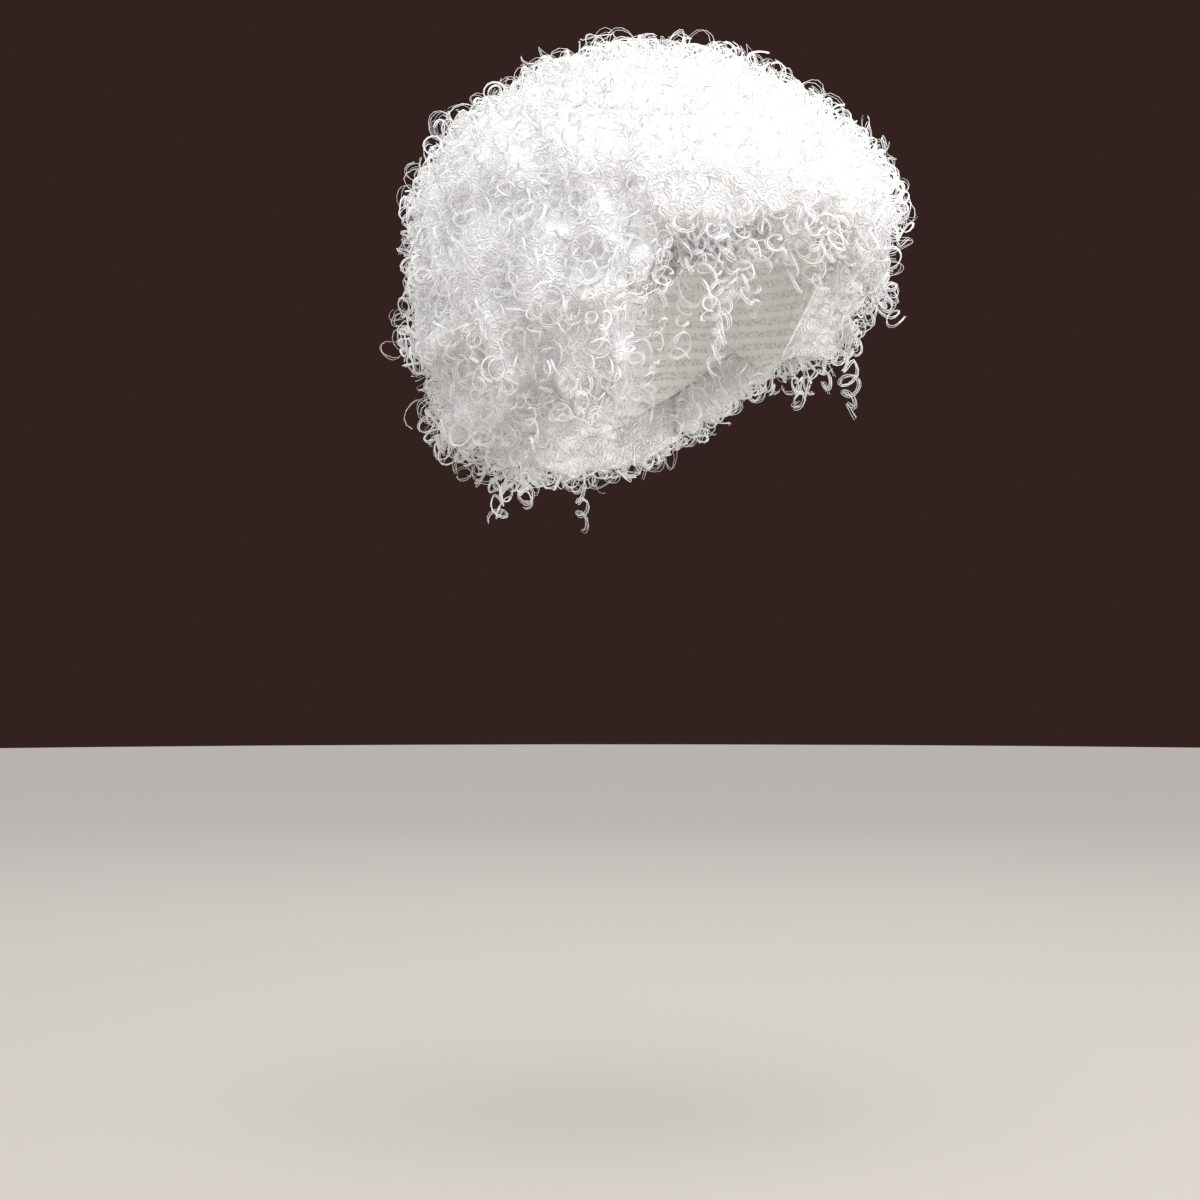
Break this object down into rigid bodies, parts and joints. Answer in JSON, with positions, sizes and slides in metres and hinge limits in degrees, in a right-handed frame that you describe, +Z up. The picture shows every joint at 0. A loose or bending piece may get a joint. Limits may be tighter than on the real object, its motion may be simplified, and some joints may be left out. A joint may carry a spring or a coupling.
{
  "type": "afro wig",
  "caption": "Full, round white afro wig of tight ringlet curls wefted to an open net cap, in the shape it has when worn, with a fringe and free ringlets at temple, ear and nape.",
  "frame": {"origin": "the crown of the cap's inner surface, where the head that wears the wig carries it", "axes": "+Z up along the head's axis, the face looks along -Y, +X towards the wearer's left"},
  "size_m": [0.3059, 0.3043, 0.2872],
  "materials": {
    "cap_net": "stretch net cap with rows of sewn wefts, matt off-white",
    "hair": "synthetic fibre set in tight ringlets, white with a soft sheen"
  },
  "bodies": {
    "root": {"cap": "cap_net", "crown_hair": "hair", "fringe": "hair", "right_side_hair": "hair", "left_side_hair": "hair", "back_hair": "hair", "nape_hair": "hair"}
  },
  "joints": []
}
